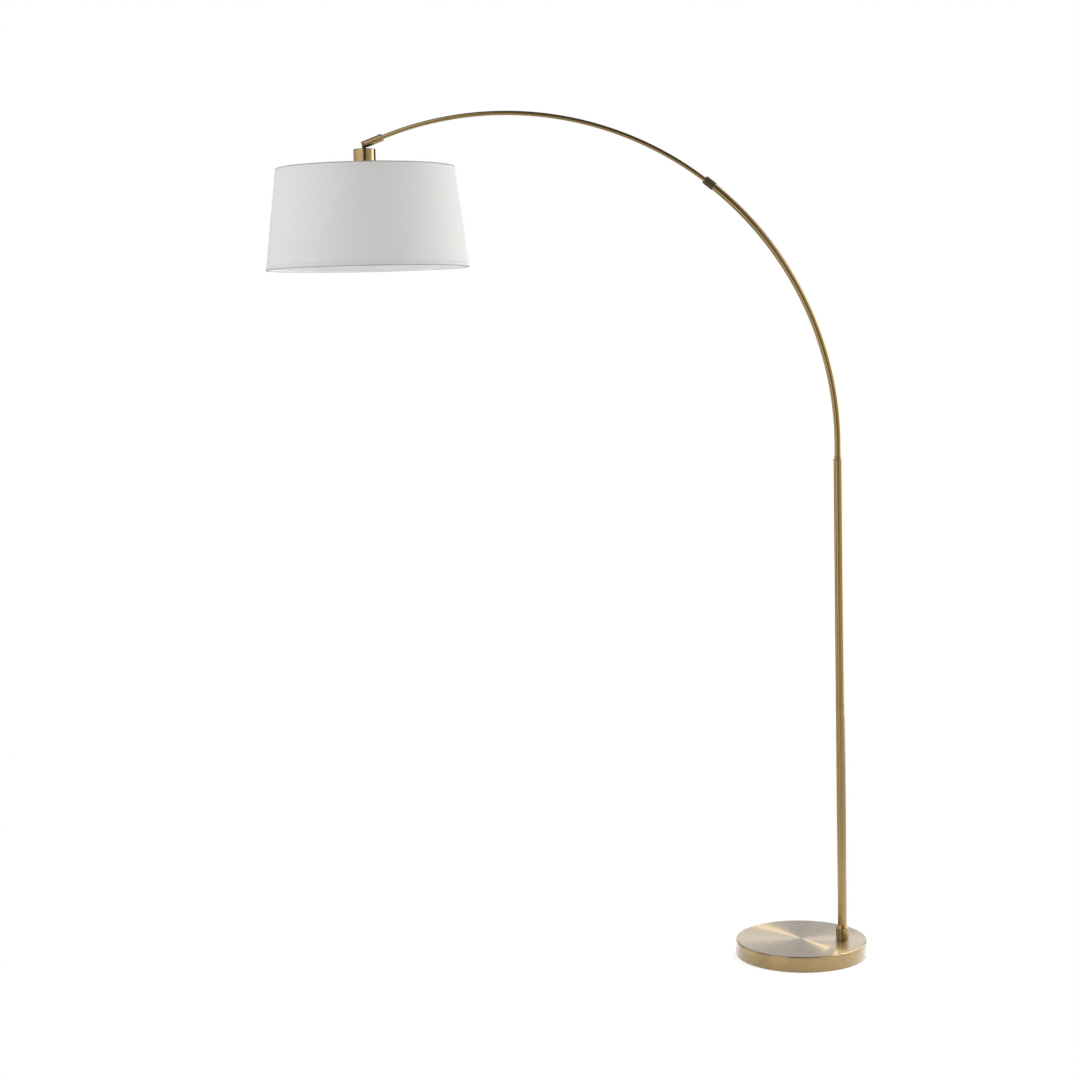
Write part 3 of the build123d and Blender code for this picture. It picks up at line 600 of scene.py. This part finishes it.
# The turned profile on either side of the knurling and in the bore: radius, and distance from the
# collar's middle, in millimetres.
COLLAR_LOW_END = ((7.75, -13.1), (8.75, -13.1), (9.25, -12.6), (9.25, -10.6), (8.85, -10.3), (8.85, -9.9))
COLLAR_HIGH_END = ((8.85, 8.5), (8.85, 8.9), (9.25, 9.2), (9.25, 11.1), (8.05, 13.1), (5.10, 13.1))
COLLAR_BORE = ((5.10, 9.8), (6.55, 9.8), (6.95, 1.4), (7.75, 1.4))


def tooth(turns):
    """A triangular wave from 0 to 1 and back in each turn."""
    return 1 - abs(2 * (turns % 1.0) - 1)


def make_collar():
    """The lock collar, with a diamond knurl between two plain bands."""
    columns = KNURL_STEPS * KNURL_COUNT
    pitch = 2 * pi * COLLAR_RADIUS / KNURL_COUNT
    steps = round((KNURL_TO - KNURL_FROM) / pitch * KNURL_STEPS)
    knurl = [KNURL_FROM + (KNURL_TO - KNURL_FROM) * i / steps for i in range(steps + 1)]
    rows = [(radius * MM, along * MM, False) for radius, along in COLLAR_LOW_END]
    rows += [(COLLAR_RADIUS, along, True) for along in knurl]
    rows += [(radius * MM, along * MM, False) for radius, along in COLLAR_HIGH_END + COLLAR_BORE]
    across = collar_axis.cross(BACK)

    def point(row, column):
        radius, along, cut = rows[row]
        turn = column / columns
        if cut:
            up = (along - KNURL_FROM) / pitch
            depth = min(tooth(KNURL_COUNT * turn + up / 2), tooth(KNURL_COUNT * turn - up / 2))
            radius -= KNURL_DEPTH * (1 - depth)
        outward = BACK * cos(2 * pi * turn) + across * sin(2 * pi * turn)
        return collar_centre + collar_axis * along + outward * radius

    points, faces = ring_grid(len(rows), columns, point)
    collar = add_mesh("lock_collar_knurled", points, faces)
    sharpen(collar, degrees=28)
    return collar


collar = make_collar()
bronze_collar = brushed_metal("bronze_collar", about_collar, BRONZE_COLOURS, roughness=0.30)
made_of(collar, bronze_collar, "lock")
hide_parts("lock_collar")


# ---------------------------------------------------------------- arm tubes
LOWER_TUBE_RADIUS = 7.5 * MM
LOWER_TUBE_BORE = 6.5 * MM
LOWER_TUBE_END = radians(51)
UPPER_TUBE_RADIUS = 4.75 * MM
UPPER_TUBE_BORE = 3.95 * MM
UPPER_TUBE_TAIL = radians(36)
TUBE_IN_SLEEVE = radians(1.4)
TUBE_STEP = 4.5 * MM
TUBE_COLUMNS = 72
stem_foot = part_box("arm_lower_tube")[0].z


def arm_station(distance):
    """The arm's centre line: below the arc it is straight. Gives a point and its outward way."""
    if distance <= 0:
        return Vector((pole_foot.x, 0, arc_centre.z + distance)), RIGHT
    outward = Vector((cos(distance / arc_radius), 0, sin(distance / arc_radius)))
    return arc_centre + outward * arc_radius, outward


def make_arm_tube(name, node, radius, bore, start, end):
    """A bent tube swept finely along the arm, so that its long highlights run unbroken."""
    count = round((end - start) / TUBE_STEP)
    stations = [start + (end - start) * i / count for i in range(count + 1)]
    rows = [(radius, station) for station in stations]
    rows += [(bore, station) for station in reversed(stations)]

    def point(row, column):
        turn = 2 * pi * column / TUBE_COLUMNS
        centre, outward = arm_station(rows[row][1])
        return centre + (outward * cos(turn) + BACK * sin(turn)) * rows[row][0]

    points, faces = ring_grid(len(rows), TUBE_COLUMNS, point)
    tube = add_mesh(name, points, faces)
    sharpen(tube)
    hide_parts(node)
    return tube


brass_arm = brushed_metal("brass_arm", about_arm, BRASS_COLOURS, roughness=0.21, anisotropy=0.3, lines=0.15)
lower_tube = make_arm_tube("arm_lower_tube_bent", "arm_lower_tube", LOWER_TUBE_RADIUS, LOWER_TUBE_BORE,
                           stem_foot - arc_centre.z, LOWER_TUBE_END * arc_radius)
upper_tube = make_arm_tube("arm_upper_tube_bent", "arm_upper_tube", UPPER_TUBE_RADIUS, UPPER_TUBE_BORE,
                           UPPER_TUBE_TAIL * arc_radius, (sleeve_angle + TUBE_IN_SLEEVE) * arc_radius)
made_of(lower_tube, brass_arm, "lower_arm")
made_of(upper_tube, brass_arm, "upper_arm")

# ---------------------------------------------------------------- spun base cover
COVER_SHEET = 1.5 * MM
COVER_EDGE = 2.2 * MM
COVER_EDGE_STEPS = 12
COVER_INSIDE_EDGE = 1.2 * MM
COVER_LIP = 0.3 * MM
COVER_RINGS = (0.0, 0.12, 0.3, 0.5, 0.7, 0.85, 0.95)
COVER_COLUMNS = 720
cover_low, cover_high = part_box("base_cover")


def make_base_cover():
    """The cover turned finely, so that its edge shines in one unbroken line."""
    radius = cover_high.x
    turns = [radians(90 * i / COVER_EDGE_STEPS) for i in range(COVER_EDGE_STEPS + 1)]
    edge = [(radius - COVER_EDGE * (1 - sin(turn)), cover_high.z - COVER_EDGE * (1 - cos(turn)))
            for turn in turns]
    top = [(radius * share, cover_high.z) for share in COVER_RINGS]
    skirt = [
        (radius, cover_low.z + COVER_LIP),
        (radius - COVER_LIP, cover_low.z),
        (radius - COVER_SHEET, cover_low.z),
    ]
    ceiling = cover_high.z - COVER_SHEET
    inside = [
        (radius - COVER_SHEET, ceiling - COVER_INSIDE_EDGE),
        (radius - COVER_SHEET - COVER_INSIDE_EDGE, ceiling),
        (0.0, ceiling),
    ]
    profile = (top + edge + skirt + inside)[::-1]

    def point(row, column):
        angle = 2 * pi * column / COVER_COLUMNS
        return profile[row][0] * cos(angle), profile[row][0] * sin(angle), profile[row][1]

    points, faces = ring_grid(len(profile), COVER_COLUMNS, point)
    cover = add_mesh("base_cover_spun", points, faces)
    weld(cover)
    sharpen(cover, degrees=50)
    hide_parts("base_cover")
    return cover


brass_base = brushed_metal("brass_base", about_base, BRASS_COLOURS, roughness=0.30, anisotropy=1.0, coat=0.8,
                           wander=0.3)
made_of(make_base_cover(), brass_base, "stand")


# ---------------------------------------------------------------- finishes of the CAD nodes
def finish_nodes(material, *nodes):
    """Gives CAD nodes their only material."""
    for node in nodes:
        mesh = frame["nodes"][node].data
        mesh.materials.clear()
        mesh.materials.append(material)


brass_pole = brushed_metal("brass_pole", about_pole, BRASS_COLOURS, roughness=0.24, anisotropy=0.9, lines=0.6)
brass_sleeve = brushed_metal("brass_sleeve", about_sleeve, BRASS_COLOURS, roughness=0.26, anisotropy=0.85,
                             lines=0.5)
brass_cup = brushed_metal("brass_cup", about_lamp, BRASS_COLOURS, roughness=0.17)
bronze_screws = brushed_metal("bronze_screws", about_sleeve, BRONZE_COLOURS, roughness=0.30)
finish_nodes(brass_pole, "pole_foot_collar", "lower_pole_tube", "pole_coupler", "upper_pole_tube",
             "pole_top_cap", "arm_stop_ring")
finish_nodes(brass_sleeve, "end_sleeve")
finish_nodes(brass_cup, "socket_cup")
finish_nodes(bronze_screws, "sleeve_grub_screw", "pivot_screws")
finish_nodes(frosted_glass(), "bulb_dome")

# Name, colour and second colour, roughness, the grain's size and depth in millimetres, other
# sockets, and the nodes.
GRAINED_FINISHES = (
    ("cast_iron", (0.035, 0.035, 0.037), (0.06, 0.057, 0.055), 0.6, 1.6, 0.3,
     {"Metallic": 0.3}, ("base_weight",)),
    ("zinc_steel", (0.42, 0.42, 0.40), (0.52, 0.50, 0.44), 0.32, 1.2, 0.01,
     {"Metallic": 1.0}, ("base_washer", "base_bolt", "pole_foot_plug", "yoke_locknut", "terminal_screws")),
    ("pad_felt", (0.022, 0.022, 0.024), (0.05, 0.05, 0.052), 0.95, 0.6, 0.4,
     {"Sheen_Weight": 0.4}, ("base_pad",)),
    ("black_rubber", (0.018, 0.018, 0.018), (0.03, 0.03, 0.03), 0.62, 0.9, 0.03,
     {}, ("cord_outlet_grommet",)),
    ("nylon", (0.62, 0.61, 0.57), (0.70, 0.69, 0.65), 0.42, 1.2, 0.01,
     {"Subsurface_Weight": 0.2, "Subsurface_Scale": 2 * MM},
     ("swivel_lower_bush", "arm_guide_collet", "arm_tail_slider")),
    ("lead_sheath", (0.60, 0.58, 0.53), (0.68, 0.66, 0.61), 0.38, 2.0, 0.01,
     {}, ("lead_in_pole", "lead_in_lower_arm", "lead_in_upper_arm", "lead_pivot_bend", "lead_in_head")),
    ("black_metal", (0.012, 0.012, 0.012), (0.022, 0.021, 0.02), 0.38, 0.8, 0.01,
     {}, ("swivel_yoke",)),
    ("black_phenolic", (0.014, 0.013, 0.012), (0.03, 0.026, 0.022), 0.30, 0.9, 0.01,
     {"Coat_Weight": 0.3}, ("lampholder_cap", "lampholder_skirt", "shade_ring_nut")),
    ("porcelain", (0.80, 0.79, 0.75), (0.86, 0.85, 0.82), 0.18, 2.2, 0.01,
     {"Coat_Weight": 0.6}, ("lampholder_core",)),
    ("contact_brass", (0.62, 0.46, 0.20), (0.70, 0.55, 0.28), 0.30, 1.0, 0.01,
     {"Metallic": 1.0}, ("screw_shell", "centre_contact")),
    ("white_wire", (0.78, 0.78, 0.77), (0.84, 0.84, 0.83), 0.40, 1.0, 0.03,
     {}, ("shade_spider", "shade_bottom_wire")),
    ("nickel", (0.55, 0.53, 0.50), (0.62, 0.60, 0.57), 0.22, 1.0, 0.01,
     {"Metallic": 1.0}, ("bulb_cap",)),
    ("bulb_plastic", (0.80, 0.80, 0.79), (0.85, 0.85, 0.84), 0.35, 1.6, 0.01,
     {}, ("bulb_body",)),
)
for name, colour, second, roughness, grain, depth, sockets, nodes in GRAINED_FINISHES:
    finish_nodes(grained(name, colour, second, roughness, grain * MM, depth * MM, **sockets), *nodes)


# ---------------------------------------------------------------- studio
WHITE = (1, 1, 1)
AMBIENT = 0.14
FLOOR = (0.86, 0.86, 0.855)
FLOOR_RADIUS = 9.0
FLOOR_CORNERS = 96
# Distances from the base's middle: where the floor fades to white, and where its glow dies out.
FADE_FROM = 0.146
FADE_TO = 0.162
GLOW_FROM = 0.5
GLOW_TO = 1.3
FLOOR_GLOW = 0.58


def add_floor():
    """A pale floor. Past the base's own contact shadow it is white, like the backdrop."""
    angles = [2 * pi * i / FLOOR_CORNERS for i in range(FLOOR_CORNERS)]
    points = [(FLOOR_RADIUS * cos(angle), FLOOR_RADIUS * sin(angle), cad_low.z) for angle in angles]
    floor = add_mesh("floor", points, [tuple(range(FLOOR_CORNERS))])
    graph = Graph("studio_floor")
    distance = graph.vector("LENGTH", graph.vector("MULTIPLY", graph.place(), (1, 1, 0)))
    glow = graph.fit(distance, GLOW_FROM, GLOW_TO, FLOOR_GLOW, 0.0)
    graph.finish(Base_Color=FLOOR, Roughness=0.9, Specular_IOR_Level=0.1, Emission_Color=WHITE,
                 Emission_Strength=glow)
    seen = graph.node("LightPath", {}, "Is Camera Ray")
    share = graph.math("MULTIPLY", seen, graph.fit(distance, FADE_FROM, FADE_TO))
    graph.blend_in(share, graph.node("Emission", {"Color": WHITE, "Strength": 1.0}))
    floor.data.materials.append(graph.material)


def add_world():
    """Even studio light all round, behind a white backdrop."""
    world = bpy.data.worlds.new("studio")
    world.use_nodes = True
    nodes, links = world.node_tree.nodes, world.node_tree.links
    light = nodes["Background"]
    light.inputs["Color"].default_value = (*WHITE, 1)
    light.inputs["Strength"].default_value = AMBIENT
    backdrop = nodes.new("ShaderNodeBackground")
    backdrop.inputs["Color"].default_value = (*WHITE, 1)
    backdrop.inputs["Strength"].default_value = 1.0
    seen = nodes.new("ShaderNodeLightPath")
    both = nodes.new("ShaderNodeMixShader")
    links.new(seen.outputs["Is Camera Ray"], both.inputs[0])
    links.new(light.outputs[0], both.inputs[1])
    links.new(backdrop.outputs[0], both.inputs[2])
    links.new(both.outputs[0], nodes["World Output"].inputs["Surface"])
    bpy.context.scene.world = world


def add_panel(name, place, facing, size, radiance, spread=pi):
    """A rectangular light that lights the lamp and shows in the metal, not to the camera. A grid
    may keep its beam within spread. A narrow beam is brighter for its power, so that is cut."""
    light = bpy.data.lights.new(name, "AREA")
    light.shape = "RECTANGLE"
    light.size, light.size_y = size
    light.spread = spread
    light.energy = radiance * pi * size[0] * size[1] * (1 - spread / 2 / tan(spread / 2))
    panel = bpy.data.objects.new(name, light)
    panel.location = place
    panel.rotation_euler = facing.to_track_quat("-Z", "Y").to_euler()
    panel.visible_camera = False
    bpy.context.scene.collection.objects.link(panel)


def add_softbox(name, left, right, low, high, radiance):
    """An upright softbox between two points of the floor plan and two heights, facing the lamp."""
    middle = (Vector(left) + Vector(right)) / 2
    across = Vector(right) - Vector(left)
    facing = Vector((-across.y, across.x, 0))
    if facing.xy.dot(middle) > 0:
        facing = -facing
    add_panel(name, (middle.x, middle.y, (low + high) / 2), facing, (across.length, high - low), radiance)


# Name, the two ends on the floor plan, the heights of the bottom and the top, and the radiance.
SOFTBOXES = (
    ("softbox_left_low", (-1.15, -2.3), (-1.85, -1.18), 0.0, 1.25, 1.25),
    ("softbox_left", (-1.15, -2.3), (-2.4, -0.3), 1.25, 2.8, 1.35),
    ("softbox_left_high", (-1.15, -2.3), (-2.4, -0.3), 2.8, 4.8, 1.3),
    ("reflector_left_low", (-2.4, -0.3), (-2.6, 1.4), 0.0, 1.25, 1.5),
    ("reflector_left", (-2.4, -0.3), (-2.6, 1.4), 1.25, 2.6, 0.8),
    ("reflector_right", (0.65, -3.3), (1.35, -1.7), 0.0, 2.8, 0.6),
    ("softbox_right_front", (1.35, -1.7), (2.0, -0.2), 0.0, 2.8, 0.85),
    ("softbox_right_back", (1.5, -0.1), (0.9, 1.15), 0.3, 2.3, 3.8),
    ("softbox_right_high", (1.5, -0.1), (0.9, 1.15), 2.3, 3.9, 2.5),
    ("backdrop_low", (-1.0, 2.4), (1.3, 2.4), 0.0, 1.5, 1.1),
    ("card_front_low", (-1.0, -3.2), (0.6, -3.3), 0.0, 0.45, 1.2),
)
# A strip light over and behind the lamp, aimed at the base. Its grid keeps it off the arm.
OVERHEAD_PLACE = Vector((1.02, 2.91, 2.90))
OVERHEAD_SIZE = (0.14, 0.6)
OVERHEAD_RADIANCE = 75.0
OVERHEAD_SPREAD = radians(36)

add_floor()
add_world()
for softbox in SOFTBOXES:
    add_softbox(*softbox)
add_panel("strip_overhead", OVERHEAD_PLACE, base_middle - OVERHEAD_PLACE, OVERHEAD_SIZE, OVERHEAD_RADIANCE,
          OVERHEAD_SPREAD)

bpy.context.scene.view_settings.view_transform = "Standard"
bpy.context.scene.view_settings.look = "None"
